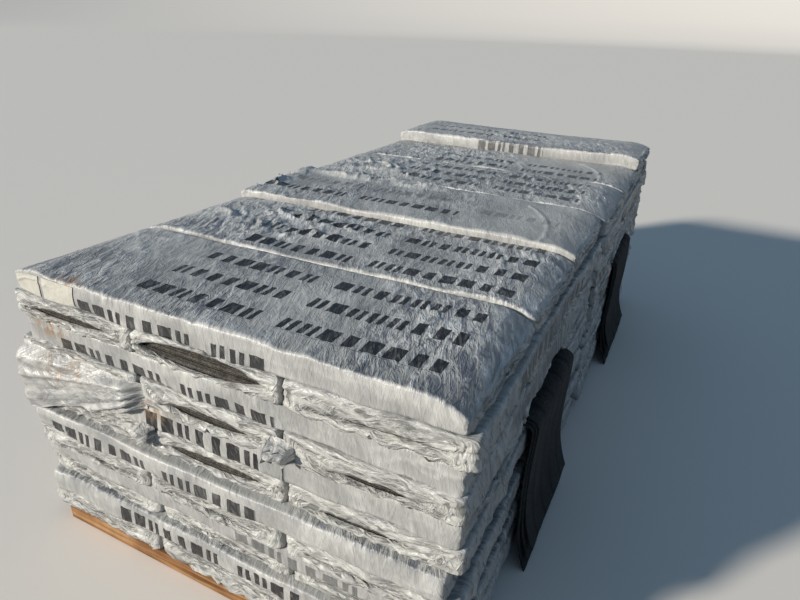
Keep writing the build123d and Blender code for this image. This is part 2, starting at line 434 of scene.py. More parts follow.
def ring_faces(first, count, rings, p, round_length, along):
    """Quads between rings of count points each, with the corners' places on the film (along, round)."""
    i, j = (x.ravel() for x in np.meshgrid(np.arange(rings - 1), np.arange(count), indexing="ij"))
    after = (j + 1) % count
    here, beyond = first + i * count, first + (i + 1) * count
    faces = np.stack([here + j, here + after, beyond + after, beyond + j], axis=1)
    p_after = np.append(p[1:], round_length)
    u = np.stack([along[i], along[i], along[i + 1], along[i + 1]], axis=1)
    v = np.stack([p[j], p_after[j], p_after[j], p[j]], axis=1)
    return faces, np.stack([u, v], axis=2)


def zip_rings(first_a, p_a, first_b, p_b, round_length, u_a, u_b):
    """Triangles between two rings that have different numbers of points."""
    faces, uvs = [], []
    i = j = 0
    a_all, b_all = np.append(p_a, round_length), np.append(p_b, round_length)
    while i < len(p_a) or j < len(p_b):
        at_a, at_b = first_a + i % len(p_a), first_b + j % len(p_b)
        if j >= len(p_b) or (i < len(p_a) and a_all[i + 1] <= b_all[j + 1]):
            faces.append((at_a, first_a + (i + 1) % len(p_a), at_b))
            uvs.append(((u_a, a_all[i]), (u_a, a_all[i + 1]), (u_b, b_all[j])))
            i += 1
        else:
            faces.append((at_a, first_b + (j + 1) % len(p_b), at_b))
            uvs.append(((u_a, a_all[i]), (u_b, b_all[j + 1]), (u_b, b_all[j])))
            j += 1
    return np.array(faces), np.array(uvs)


def end_rings(p, a, b, slit, fine):
    """Rings over one end, from the sleeve's full section to the slit: turn, way beyond the sleeve, y and z."""
    y, z, _ = section(p, a, b, CORNER_RADIUS)
    slit_y, slit_z, half_wide, half_high, tilt, square = slit
    lens = np.maximum(half_high * (1 - np.abs(y / a) ** square), 0.0006)
    to_y = slit_y + half_wide * y / a
    to_z = slit_z + tilt * (y / a) + lens * z / b
    travel = np.hypot(to_y - y, to_z - z)
    power = np.sqrt(np.clip(END_DEPTH / np.maximum(travel, 1e-4), 0.2, 1))
    out = []
    for turn in END_TURNS if fine else HIDDEN_END_TURNS:
        sin, share = math.sin(math.radians(turn)), 1 - math.cos(math.radians(turn))
        out.append((turn, END_DEPTH * sin ** power, y + (to_y - y) * share, z + (to_z - z) * share))
    out.append((110, np.full_like(y, END_DEPTH - 0.0030), to_y, to_z))
    out.append((130, np.full_like(y, END_DEPTH - 0.0070), to_y, slit_z + (to_z - slit_z) * 0.97))
    return out


def bare_sleeve(height, steps, open_ends, slits, stations):
    """A bundle's film before it is creased, in the bundle's own frame: its points, their places u along and v
    round the film, how far each has turned over an end, in degrees, and its faces."""
    a, b = WRAPPED_WIDTH / 2, height / 2
    p, round_length = round_steps(a, b, CORNER_RADIUS, steps)
    y, z, starts = section(p, a, b, CORNER_RADIUS)
    points = [np.stack([np.full_like(y, x), y, z + b], axis=1) for x in stations]
    us, vs = [np.full_like(y, x) for x in stations], [p] * len(stations)
    turns = [np.zeros_like(y)] * len(stations)
    count = len(stations) * len(p)
    faces, uvs = [], []

    def add(own_faces, own_uvs, flipped):
        faces.append(own_faces[:, ::-1] if flipped else own_faces)
        uvs.append((own_uvs[:, ::-1] if flipped else own_uvs).reshape(-1, 2))

    add(*ring_faces(0, len(p), len(stations), p, round_length, stations), True)
    for end in (0, 1):
        p_end, _ = round_steps(a, b, CORNER_RADIUS, (END_SPACINGS[open_ends[end]],) * 4)
        rings = end_rings(p_end, a, b, slits[end], open_ends[end])
        along, travelled, previous = [], 0.0, np.stack(rings[0][1:])
        for turn, beyond, ring_y, ring_z in rings:
            ring = np.stack([beyond, ring_y, ring_z])
            travelled += float(np.mean(np.linalg.norm(ring - previous, axis=0)))
            previous = ring
            x = WRAPPED_LENGTH - END_DEPTH + beyond if end else END_DEPTH - beyond
            u = WRAPPED_LENGTH - END_DEPTH + travelled if end else END_DEPTH - travelled
            points.append(np.stack([x, ring_y, ring_z + b], axis=1))
            us.append(np.full_like(ring_y, u))
            vs.append(p_end)
            turns.append(np.full_like(ring_y, turn))
            along.append(u)
        add(*ring_faces(count, len(p_end), len(rings), p_end, round_length, np.array(along)), end == 1)
        edge = (len(stations) - 1) * len(p) if end else 0
        add(*zip_rings(edge, p, count, p_end, round_length, stations[-end], along[0]), end == 1)
        count += len(rings) * len(p_end)
    points, u, v, turn = (np.concatenate(x) for x in (points, us, vs, turns))
    return SimpleNamespace(a=a, b=b, p=p, starts=starts, stations=stations, points=points, u=u, v=v, turn=turn,
                           faces=faces, uvs=uvs)


def film_normals(film):
    """The unit normals at the film's points."""
    triangles = [faces[:, corners] for faces in film.faces
                 for corners in ([0, 1, 2], [0, 2, 3])[:faces.shape[1] - 2]]
    triangles = np.concatenate(triangles)
    a, b, c = (film.points[triangles[:, k]] for k in range(3))
    normal = np.cross(b - a, c - a)
    total = np.zeros_like(film.points)
    for k in range(3):
        for axis in range(3):
            total[:, axis] += np.bincount(triangles[:, k], normal[:, axis], len(total))
    return total / np.maximum(np.linalg.norm(total, axis=1), 1e-12)[:, None]


def note_places(film, open_ends, seed, calm):
    """Notes how far each point belongs to the front, the top, the back or an end, how high it is, from -1 to
    1, and what its creases share: their warp and slant, and their strength in patches and tight places."""
    x, u, v, starts = film.points[:, 0], film.u, film.v, film.starts
    edges = [smooth_step(v, starts[k], starts[k + 1]) for k in (1, 3, 5, 7)]
    film.on_front, film.on_top, film.on_back = (edges[k] * (1 - edges[k + 1]) for k in range(3))
    which_end = (x > WRAPPED_LENGTH / 2).astype(int)
    film.on_end = smooth_step(film.turn, 0, 40) * np.minimum(open_ends, 1)[which_end]
    film.level = (film.points[:, 2] - film.b) / film.b
    film.near_end = np.clip(1 - np.minimum(x, WRAPPED_LENGTH - x) / 0.16, 0, 1)
    film.warp = 0.5 * perlin(u * 8, v * 10, seed + 1)
    film.patch = np.clip(0.55 + 0.9 * perlin(u * 6, v * 7, seed + 17), 0.1, 1.2)
    film.slant = u + 0.34 * v
    film.tight = np.clip(0.68 + 0.85 * perlin(u * 2.7, v * 3.4, seed + 26), 0.22, 1.0)
    for middle, reach, share in calm:
        film.tight *= 1 - share * np.exp(-((u - middle) / reach) ** 4)


def side_creases(film, seed, on_long_side):
    """Creases down a side from its edges. The stack's two long sides also have long slanting folds, left out
    where the hanging mats would press them flat."""
    u, v, warp, patch = film.u, film.v, film.warp, film.patch
    upper, lower = smooth_step(film.level, -0.3, 0.9), smooth_step(-film.level, 0.1, 0.9)
    side = (0.0022 * upper + 0.0014 * lower) * crease(u * 36 + warp, v * 6 + 0.6 * u, seed + 2, 0.2) * patch
    side += 0.0010 * crease(u * 60 + warp, v * 20, seed + 3, 0.2) * patch
    side += 0.0022 * crease(u * 4 + 3 * warp, v * 40, seed + 4, 0.14) * (0.35 + film.near_end) * (1.2 - patch)
    side += 0.0018 * perlin(u * 10, v * 16, seed + 5)
    if on_long_side:
        bare = smooth_step(np.abs(u - 0.5), 0.18, 0.25)
        side += bare * 0.0030 * crease(u * 5 + v * 6 + warp, v * 26 + u * 7, seed + 27, 0.2)
        side += bare * 0.0024 * crease(u * 5 - v * 5 + warp, v * 24 - u * 9, seed + 28, 0.2)
    return side


def top_creases(film, seed, rumples):
    """Creases across the top at a slant, and a wavy front edge. A bundle with rumples has crumpled places, and
    a ridge that bends round its right-hand end."""
    x, back_by = film.points[:, 0], film.points[:, 1] + film.a
    u, v, warp, patch, slant = film.u, film.v, film.warp, film.patch, film.slant
    flat = 0.0015 * crease(slant * 22 + warp, v * 7, seed + 6)
    flat += 0.0011 * crease(slant * 48 + warp, v * 16, seed + 7, 0.2) * patch
    flat *= 0.3 + 0.9 * film.tight
    flat += 0.0017 * perlin(slant * 9, v * 6, seed + 8)
    flat += 0.0009 * perlin(slant * 75, v * 20, seed + 9) * patch * film.tight
    flat += 0.0016 * crease(u * 6 + warp, v * 5 + warp, seed + 16, 0.035) * film.near_end
    brink = np.exp(-(back_by / 0.028) ** 2)
    flat += brink * 0.0045 * perlin(u * 6, 0.4 + 0 * v, seed + 24)
    flat += brink * 0.0022 * perlin(u * 19, 0.7 + 0 * v, seed + 25)
    if rumples:
        from_ridge = np.hypot(x - 0.62, back_by - 0.06) - 0.285 - 0.008 * perlin(v * 9, u * 3, seed + 23)
        flat += 0.0030 * np.exp(-(from_ridge / 0.0045) ** 2) * (x > 0.8)
    for middle_x, middle_y, reach_x, reach_y, rise in rumples:
        away = ((x - middle_x) / reach_x) ** 2 + ((back_by - middle_y) / reach_y) ** 2
        lump = 0.5 + 1.3 * crease(u * 8 + 1.5 * warp, v * 6 + 1.5 * warp, seed + 20, 0.12)
        lump += 0.6 * crease(slant * 17 + warp, v * 9 - 5 * u, seed + 21, 0.16)
        lump += 0.5 * perlin(u * 13, v * 10, seed + 22)
        flat += rise * np.exp(-away ** 2) * lump
    return flat


def end_folds(film, seed):
    """Folds over an end that fan out from its left-hand side, towards the slit."""
    across, up = film.points[:, 1], film.points[:, 2] - film.b
    spread = up / (0.4 + 0.6 * np.clip((across + film.a) / 0.25, 0, 1))
    swayed = spread + 0.06 * perlin(across * 6, 0 * film.v, seed + 18)
    fold = 0.0058 * crease(across * 5 + film.warp, swayed * 52, seed + 10, 0.24)
    fold += 0.0030 * crease(across * 12, spread * 120, seed + 11, 0.26)
    return fold + 0.0040 * perlin(across * 7, up * 26, seed + 19)


SIDE_LOOSENESS, FRONT_LOOSENESS, TOP_LOOSENESS = 1.5, 1.15, 1.0
SAG = 0.0100
ROW_PITCH, BAR_PITCH = 0.092, 0.0415
PRINTED_SIDES = {"front": (2, 4), "top": (4, 5), "back": (6, 7)}


def wrapped_film(height, steps, open_ends, slits, stations, seed, looseness,
                 prints=(), rumples=(), calm=(), hang=0.0):
    """One bundle's creased film in its own frame. steps is the spacing round the section on the bottom, front,
    top and back; looseness is how much the film is creased and hangs on the front, top and back. prints are
    (side, from u, to u, offset, rows, strength) of rows of bars, rumples are the middle, reach and rise of
    crumpled places on the top, calm is the middle, reach and share of smooth ones, and hang is how far more
    the lower edge sags."""
    film = bare_sleeve(height, steps, open_ends, slits, stations)
    note_places(film, open_ends, seed, calm)
    normals = film_normals(film)
    front, top, back = looseness
    on_long_side = max(front, back) >= SIDE_LOOSENESS
    u, v, turn, level, off_end = film.u, film.v, film.turn, film.level, 1 - film.on_end
    push = side_creases(film, seed, on_long_side) * (film.on_front * front + film.on_back * back)
    if top:
        push += top_creases(film, seed, rumples) * film.on_top * top
    push = push * off_end + end_folds(film, seed) * film.on_end * smooth_step(-turn, -100, -75)
    everywhere = np.clip(film.on_front + film.on_back + film.on_top + film.on_end, 0, 1)
    # how hollow the film lies, where its material paints shade
    film.hollow = (1 - smooth_step(push, -0.0012, 0.0024)) * everywhere * (turn < INSIDE_TURN)

    # the sides swell a little, and hang over the gap below in places
    hanging_sides = (film.on_front * (front > 0) + film.on_back * (back > 0)) * off_end
    swell = np.clip(1 - level ** 2, 0, 1) * (0.0018 + 0.0040 * perlin(u * 4.3, 0.5 + 0 * v, seed + 12))
    film.points = film.points + normals * (push + swell * hanging_sides)[:, None]
    sagging = np.clip(0.4 + 1.3 * perlin(u * 7.5, 0.2 + 0 * v, seed + 13), 0, 1.4)
    hanging_ends = 0.8 * film.on_end * np.clip(-level, 0, 1) * (turn < INSIDE_TURN)
    hanging_ends *= np.abs(np.sin(2.5 * np.pi * v / film.a))
    sagging *= np.maximum(hanging_sides * np.clip(0.2 - level, 0, 1) / 1.2, hanging_ends)
    film.points[:, 2] -= (SAG + hang) * sagging
    film.points += normals * np.array((1.0, 1.0, 0.0)) * ((0.0030 + 0.3 * hang) * sagging)[:, None]

    # how crumpled the film is, for its relief and the painted shade and highlights on its creases
    film.crumple = np.clip(film.on_top * film.tight + 0.16 * (film.on_front + film.on_back), 0, 1) * off_end
    # how far the film is gathered in folds, for their relief and the painted shade along them
    held = 0.90 if on_long_side else 0.20
    film.gather = np.clip(film.on_end + held * (film.on_front * (1 - 0.5 * film.on_top) + film.on_back), 0, 1)

    # where the rows of bars lie, in bars and rows, and how strong they are
    film.print, film.ink = np.zeros((len(u), 2)), np.zeros(len(u))
    for side, u_from, u_to, offset, rows, strength in prints:
        origin, far = (film.starts[k] for k in PRINTED_SIDES[side])
        t = v - origin - offset
        inside = (v > origin - 0.011) & (v < far + 0.001) & (u > u_from) & (u < u_to) & (turn == 0)
        inside &= (t > -0.007) & (t < rows * ROW_PITCH - ROW_PITCH * 0.45)
        film.ink[inside] = strength
        free = inside | (film.ink == 0)
        film.print[free] = np.stack([(u - u_from) / BAR_PITCH, t / ROW_PITCH], axis=1)[free]
    return film


# The film's material: its creases give it relief, painted shade in their valleys, folds and hollows, and
# painted highlights on their crests. It uses the points' values, which say how crumpled the film is, how far
# it is gathered in folds, and where it lies hollow, printed or stained. A bar's height is a share of its row,
# and the gap in a row is counted in bars.
PAINTED_CREST_HIGHLIGHT = (0.88, 0.89, 0.90)
PAINTED_VALLEY_SHADE, PAINTED_BROAD_SHADE = (0.12, 0.14, 0.19), (0.11, 0.135, 0.19)
PAINTED_FOLD_SHADE, PAINTED_HOLLOW_SHADE = (0.11, 0.107, 0.10), (0.14, 0.145, 0.15)
INK, SOIL = (0.012, 0.012, 0.014), (0.36, 0.20, 0.09)
BAR_HEIGHT, GAP_AT = 0.41, 7.5
ACROSS = -0.33

printed_film, make = new_material("printed_film", 0.34, 0.5)
uv = make("ShaderNodeUVMap", uv_map="film").outputs["UV"]
crumple, gather, hollow = (attribute(make, name) for name in ("crumple", "gather", "hollow"))
ink, stain = (attribute(make, name) for name in ("ink", "stain"))


def film_noise(scale, detail, place=uv, output="Fac", **more):
    """Noise over the film's own places."""
    inputs = {"Vector": place, "Scale": scale, "Detail": detail, **more}
    return make("ShaderNodeTexNoise", inputs, noise_dimensions="2D").outputs[output]


def folds_at(angle, scale, detail, roughness, distortion):
    """Folds whose run is turned by an angle on the film."""
    run = make("ShaderNodeMapping", {"Vector": uv, "Rotation": (0, 0, angle)}).outputs["Vector"]
    run = make("ShaderNodeMapping", {"Vector": run, "Scale": (*scale, 1)}).outputs["Vector"]
    return film_noise(1.0, detail, run, Roughness=roughness, Distortion=distortion)


def ramp_of(value, low, high):
    """0 at low and beyond it, 1 at high and beyond it, in the material being made."""
    return make("ShaderNodeMapRange", {"Value": value, "From Min": low, "From Max": high}).outputs["Result"]


def over(tone, color, *shares):
    """The tone with a colour over it, as strong as the shares multiplied, in the material being made."""
    return mix_colors(make, joined(make, "MULTIPLY", *shares), tone, (*color, 1))


streaks = folds_at(ACROSS, (118, 33), 4, 0.6, 0.8)
fine_streaks = folds_at(ACROSS, (420, 110), 3, 0.5, 0)
broad = folds_at(ACROSS, (52, 15), 4, 0.65, 0.6)
rising_folds, falling_folds = folds_at(0.24, (70, 9), 4, 0.58, 0.6), folds_at(-0.22, (88, 12), 4, 0.58, 0.8)
long_folds = math_node(make, "MAXIMUM", rising_folds, falling_folds)
patch = ramp_of(film_noise(13, 3), 0.38, 0.62)
rumpled = math_node(make, "MULTIPLY", crumple, math_node(make, "MULTIPLY_ADD", patch, 0.65, 0.35))
tone = color_ramp(make, film_noise(4.5, 4), [(0.3, (0.57, 0.562, 0.530)), (0.7, (0.67, 0.656, 0.612))])
# painted shade in the creases' valleys and painted highlights on their crests, where the film is crumpled
tone = over(tone, PAINTED_VALLEY_SHADE, ramp_of(streaks, 0.49, 0.41), rumpled, 0.78)
tone = over(tone, PAINTED_CREST_HIGHLIGHT, ramp_of(streaks, 0.56, 0.63), rumpled, 0.80)
tone = over(tone, PAINTED_BROAD_SHADE, ramp_of(broad, 0.46, 0.41), crumple, 0.72)
tone = over(tone, PAINTED_CREST_HIGHLIGHT, ramp_of(broad, 0.56, 0.61), crumple, 0.65)
# painted shade along the folds where the film is gathered, and in its hollows
tone = over(tone, PAINTED_FOLD_SHADE, ramp_of(long_folds, 0.54, 0.42), gather, 0.75)
tone = over(tone, PAINTED_HOLLOW_SHADE, hollow, 0.46)

# rows of plain bars stand where the film is printed: pairs, blocks and wide blocks, as chance picks them
wander = film_noise(45, 2, output="Color")
print_uv = make("ShaderNodeUVMap", uv_map="print").outputs["UV"]


def vector_node(operation, first, second):
    """One sum of two places."""
    return make("ShaderNodeVectorMath", {0: first, 1: second}, operation=operation).outputs[0]


wander = vector_node("MULTIPLY", vector_node("ADD", wander, (-0.5, -0.5, 0)), (0.09, 0.06, 0))
bar_at = make("ShaderNodeSeparateXYZ", {"Vector": vector_node("ADD", print_uv, wander)}).outputs
cell, row = (math_node(make, "FLOOR", bar_at[axis]) for axis in "XY")
in_cell, in_row = (math_node(make, "FRACT", bar_at[axis]) for axis in "XY")
cell_place = make("ShaderNodeCombineXYZ", {"X": cell, "Y": row}).outputs[0]
pick = make("ShaderNodeTexWhiteNoise", {"Vector": cell_place}, noise_dimensions="2D").outputs["Value"]


def from_middle(value, middle):
    """How far a value is from the middle."""
    return math_node(make, "ABSOLUTE", math_node(make, "SUBTRACT", value, middle))


def within(value, middle, half):
    """1 where the value is no more than half away from the middle, 0 elsewhere."""
    return math_node(make, "LESS_THAN", from_middle(value, middle), half)


pair = math_node(make, "ADD", within(in_cell, 0.27, 0.15), within(in_cell, 0.73, 0.13))
block, wide_block = within(in_cell, 0.49, 0.25), within(in_cell, 0.49, 0.38)
bar = joined(make, "ADD",
             math_node(make, "MULTIPLY", pair, math_node(make, "LESS_THAN", pick, 0.45)),
             math_node(make, "MULTIPLY", block, within(pick, 0.60, 0.15)),
             math_node(make, "MULTIPLY", wide_block, math_node(make, "GREATER_THAN", pick, 0.75)))
in_height = math_node(make, "LESS_THAN", math_node(make, "DIVIDE", in_row, BAR_HEIGHT), 1.0)
off_gap = math_node(make, "GREATER_THAN", from_middle(bar_at["X"], GAP_AT), 0.5)
wear = math_node(make, "MULTIPLY_ADD", ramp_of(streaks, 0.68, 0.50), 0.22, 0.78)
tone = over(tone, INK, bar, in_height, off_gap, ink, wear)

# brown stains, where soil and rust have run
tone = over(tone, SOIL, ramp_of(film_noise(70, 5), 0.42, 0.60), stain, 0.95)
streak_share = math_node(make, "MULTIPLY_ADD", rumpled, 0.85, 0.15)
fine_share = math_node(make, "MULTIPLY_ADD", rumpled, 0.22, 0.05)
relief = joined(make, "ADD",
                math_node(make, "MULTIPLY", streaks, streak_share),
                math_node(make, "MULTIPLY", fine_streaks, fine_share),
                joined(make, "MULTIPLY", long_folds, gather, 1.7),
                joined(make, "MULTIPLY", broad, crumple, 1.2))
dress(printed_film, make, tone, relief, 1.0, 0.0055)

# Slits that the photograph shows on the front: course and row, then how far right and up the slit's middle is
# from the bundle's, half its width and height, and its tilt.
FRONT_SLITS = {
    (11, 0): (0.018, -0.005, 0.125, 0.0105, -0.003),
    (11, 1): (0.012, 0.001, 0.150, 0.0245, -0.002),
    (11, 2): (0.0, -0.010, 0.125, 0.0045, -0.005),
    (9, 1): (-0.003, -0.010, 0.112, 0.0135, -0.002),
    (9, 2): (-0.012, -0.013, 0.080, 0.009, -0.002),
    (7, 1): (0.004, -0.006, 0.128, 0.0145, -0.003),
    (7, 2): (0.010, -0.010, 0.120, 0.0080, -0.004),
    (5, 0): (-0.012, -0.012, 0.100, 0.004, 0.0),
    (5, 1): (0.015, -0.008, 0.095, 0.0075, 0.002),
    (5, 2): (-0.004, -0.008, 0.120, 0.0060, 0.004),
    (3, 1): (-0.012, -0.010, 0.090, 0.006, 0.0),
    (1, 2): (0.020, -0.012, 0.130, 0.009, 0.0),
}
SLIT_MARGIN = 0.003
TORN_COURSE, TORN_ROW = 8, 1

# Rows of bars on the front's and the top's bundles: load, course and row, then side, from, to, offset, rows
# and strength.
PRINTS = {
    ("front", 12, 0): [("top", 0.28, 0.93, 0.052, 3, 0.97), ("front", 0.19, 0.65, -0.016, 1, 0.95)],
    ("front", 12, 1): [("top", 0.28, 0.94, 0.020, 4, 0.97)],
    ("front", 12, 2): [("top", 0.02, 0.66, 0.080, 1, 0.95), ("top", 0.02, 0.60, 0.185, 1, 0.45),
                       ("top", 0.70, 0.92, 0.130, 1, 0.35)],
    ("rear", 12, 0): [("top", 0.30, 0.90, 0.060, 3, 0.85)],
    ("rear", 12, 1): [("top", 0.30, 0.90, 0.020, 2, 0.8)],
    ("front", 10, 0): [("front", 0.10, 0.65, -0.018, 1, 0.95)],
    ("front", 8, 0): [("front", 0.32, 0.66, -0.004, 1, 1.0)],
    ("front", 6, 0): [("front", 0.05, 0.62, -0.014, 1, 0.95)],
    ("front", 4, 0): [("front", 0.55, 0.90, -0.016, 1, 0.6)],
    ("front", 2, 0): [("front", 0.22, 0.72, -0.006, 1, 1.0)],
}

# Crumpled places on the top's bundles: how far along and back their middle is, their reach both ways, and
# their rise.
RUMPLES = {
    ("front", 12, 0): [(0.90, 0.24, 0.08, 0.09, 0.0030), (0.10, 0.28, 0.10, 0.08, 0.002)],
    ("front", 12, 1): [(0.27, 0.19, 0.24, 0.13, 0.0085), (0.92, 0.22, 0.07, 0.10, 0.0035)],
    ("front", 12, 2): [(0.02, 0.17, 0.05, 0.17, 0.0095), (0.30, 0.31, 0.24, 0.035, 0.0085)],
    ("rear", 12, 0): [(0.22, 0.16, 0.18, 0.14, 0.0085), (0.93, 0.2, 0.06, 0.10, 0.0040)],
    ("rear", 12, 1): [(0.42, 0.16, 0.25, 0.14, 0.0045)],
    ("rear", 12, 2): [(0.30, 0.16, 0.25, 0.12, 0.0040)],
}

# Smooth places there, where the film lies tight: how far along their middle is, their reach, and how smooth
# they are.
CALM_PLACES = {
    ("front", 12, 0): [(0.60, 0.12, 0.45)],
    ("front", 12, 2): [(0.80, 0.22, 0.75), (0.45, 0.12, 0.5)],
    ("rear", 12, 1): [(0.75, 0.18, 0.6)],
}

# Stained places on the front: how far right of and below the stack's top left corner, and their reach.
STAINS = ((0.08, 0.12, 0.05), (0.10, 0.21, 0.06), (0.15, 0.20, 0.05), (0.16, 0.002, 0.03), (0.35, 0.23, 0.04))

# How far apart the film's points are, round a bundle and along it.
ROUND_HIDDEN, ROUND_FRONT, ROUND_SHOWN, ROUND_TOP = 0.17, 0.0042, 0.0052, 0.0056
ALONG_HIDDEN, ALONG_FRONT, ALONG_SHOWN, ALONG_TOP = 0.08, 0.0048, 0.0064, 0.0055
LOW_FRONT_HANG = 0.010


def even_stations(step):
    """Places along a sleeve, about step apart."""
    room = WRAPPED_LENGTH - 2 * END_DEPTH - 0.004
    return np.linspace(END_DEPTH + 0.002, WRAPPED_LENGTH - END_DEPTH - 0.002, max(2, round(room / step)))


def prints_for(load, course, row, sides, random):
    """Rows of bars: photographed ones, or some like them on the sides that show."""
    if (load, course, row) in PRINTS:
        return PRINTS[load, course, row]
    rows = []
    for side, shown in zip(("front", "back"), sides):
        if shown:
            start = random.uniform(0.05, 0.4)
            end = start + random.uniform(0.3, 0.55)
            offset = random.uniform(-0.02, 0.01)
            rows.append((side, start, end, offset, 1, random.uniform(0.3, 0.85)))
    return rows


def slit_for(load, course, row, end, height, random):
    """A slit for one end: how far its middle is across and up from the bundle's, half its width and height,
    its tilt, and how square its corners are. It is a photographed one, or one like those."""
    b = height / 2
    if course == TORN_COURSE and row == TORN_ROW and end == 1:
        return (0.0, 0.0, 0.166, b - 0.0035, 0.0, 10)
    if load == "front" and course % 2 and end == 0:
        if (course, row) in FRONT_SLITS:
            right_by, up_by, half_wide, half_high, tilt = FRONT_SLITS[course, row]
            half_high = min(half_high, b - SLIT_MARGIN)
            up_by = float(np.clip(up_by, half_high - b + SLIT_MARGIN, b - half_high - SLIT_MARGIN))
            return (right_by, up_by, half_wide, half_high, tilt, 2.6)
        return (random.uniform(-0.02, 0.02), random.uniform(-0.008, 0.008), 0.09, 0.0010, 0.002, 2)
    chance = 0.92 if end else 0.7
    half_high = random.uniform(0.006, 0.017) if random.random() < chance else 0.0012
    half_high = min(half_high, b - 2 * SLIT_MARGIN)
    reach = b - half_high - 0.004
    return (random.uniform(-0.02, 0.02), random.uniform(-reach, reach) * 0.5, random.uniform(0.08, 0.125),
            half_high, random.uniform(-0.003, 0.003), 2)


def stains_on(points):
    """How stained each point is."""
    out = np.zeros(len(points))
    for right_by, down_by, reach in STAINS:
        place = np.array([front_corner.x + right_by, front_corner.y, front_corner.z - down_by])
        away = (points - place) / np.array([reach, 0.03, reach * 0.5])
        out = np.maximum(out, np.exp(-(away ** 2).sum(axis=1)))
    return out


def film_piece(name, films, node):
    """Joins bundles' films into one piece that stands for a CAD node."""
    faces, uvs, count = [], [], 0
    for film in films:
        faces += [own + count for own in film.faces]
        uvs += [own + film.shift for own in film.uvs]
        count += len(film.points)
    points = np.concatenate([film.points for film in films])
    bars = np.concatenate([film.print for film in films])[np.concatenate([own.ravel() for own in faces])]
    values = {key: np.concatenate([getattr(film, key) for film in films])
              for key in ("ink", "crumple", "gather", "hollow")}
    piece = mesh_piece(name, points, faces, True, uvs={"film": np.concatenate(uvs), "print": bars},
                       values={**values, "stain": stains_on(points)})
    fit(piece, printed_film, node)


for load in LOADS:
    for course in range(1, COURSES + 1):
        films = []
        on_top, lengthways = course == COURSES, course % 2 == 1
        for matrix, height, row in bundles_of(load, course):
            random = seeded("film", load, course, row)
            if lengthways:
                # turned to run along Y, so its own front side faces right
                sides = (row == 2, row == 0)
                open_ends = (FRONT_END, HIDDEN_END) if load == "front" else (HIDDEN_END, SHOWN_END)
            else:
                sides = (load == "front" and row == 0, load == "rear" and row == 2)
                open_ends = (SHOWN_END, SHOWN_END)
            faces_viewer = sides[0] and not lengthways
            round_sides = [ROUND_SHOWN if side or on_top else ROUND_HIDDEN for side in sides]
            if faces_viewer:
                round_sides[0] = ROUND_FRONT
            steps = (ROUND_HIDDEN, round_sides[0], ROUND_TOP if on_top else ROUND_HIDDEN, round_sides[1])
            step = (ALONG_TOP if on_top else ALONG_FRONT if faces_viewer
                    else ALONG_SHOWN if any(sides) else ALONG_HIDDEN)
            pulled = SIDE_LOOSENESS if lengthways else FRONT_LOOSENESS
            top_loose = TOP_LOOSENESS * on_top
            looseness = (pulled if sides[0] else top_loose, top_loose, pulled if sides[1] else top_loose)
            slits = [slit_for(load, course, row, end, height, random) for end in (0, 1)]
            seed = int(random.integers(1 << 20))
            film = wrapped_film(height, steps, open_ends, slits, even_stations(step), seed, looseness,
                                prints_for(load, course, row, sides, random),
                                RUMPLES.get((load, course, row), ()), CALM_PLACES.get((load, course, row), ()),
                                LOW_FRONT_HANG if course == 1 and load == "front" else 0.0)
            film.points = laid(film.points, height, end_drops(course, row), matrix)
            # each bundle's film lies at its own place in the noise
            film.shift = np.array([row * 3.1, course * 2.3 + (40 if load == "rear" else 0)])
            films.append(film)
        film_piece(f"{load}_course_{course:02d}_film", films, f"{load}_course_{course:02d}_wrappers")
        if on_top and load == "front":
            labelled_film = films[0]


# The odd bundle: one more wrapped pack of shingles, laid loose on top of the last row at the back.
# It lies above its neighbours, so its film shows on every side.
ODD_DROPS = (TOP_NEAR_DROP, 0.016)
ODD_STEPS = (0.03, ROUND_SHOWN, ROUND_TOP, ROUND_SHOWN)
ODD_ALONG, ODD_SEED = 0.006, 77
ODD_SLITS = ((0.0, 0.0, 0.11, 0.010, 0.0, 2), (0.01, 0.0, 0.13, 0.015, 0.0, 2))
ODD_PRINTS = (("front", 0.36, 0.64, 0.002, 1, 0.75), ("top", 0.1, 0.6, 0.09, 2, 0.6))
ODD_RUMPLES = ((0.5, 0.17, 0.4, 0.1, 0.004),)
odd_low, odd_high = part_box("odd_bundle_wrapper")
odd_height = odd_high.z - odd_low.z
odd_matrix = Matrix.Translation(Vector((odd_low.x, odd_low.y + WRAPPED_WIDTH / 2, odd_low.z)))
pack, pack_faces, pack_tints = pack_of_shingles(odd_height, seeded("odd"))
piece = mesh_piece("odd_bundle_mats", laid(pack, odd_height, ODD_DROPS, odd_matrix), [pack_faces], False,
                   values={"tint": pack_tints})
fit(piece, granule_shingle, "odd_bundle_shingles")
film = wrapped_film(odd_height, ODD_STEPS, (SHOWN_END, SHOWN_END), ODD_SLITS, even_stations(ODD_ALONG),
                    ODD_SEED, (TOP_LOOSENESS,) * 3, ODD_PRINTS, ODD_RUMPLES)
film.points = laid(film.points, odd_height, ODD_DROPS, odd_matrix)
film.shift = np.array([0.0, 90.0])
film_piece("odd_bundle_film", [film], "odd_bundle_wrapper")


# Loose film: where sleeves have torn or slipped, a flap of film hangs over the courses below on the front,
# and small crumpled ends of it stick out beside the openings. Each is a thin folded sheet of the same film.
FLAP_THICKNESS = 0.0008
FLAP_GRID = 0.005
# how gathered in folds the flaps are, for their relief and the painted shade along the folds
FLAP_GATHER = 0.60

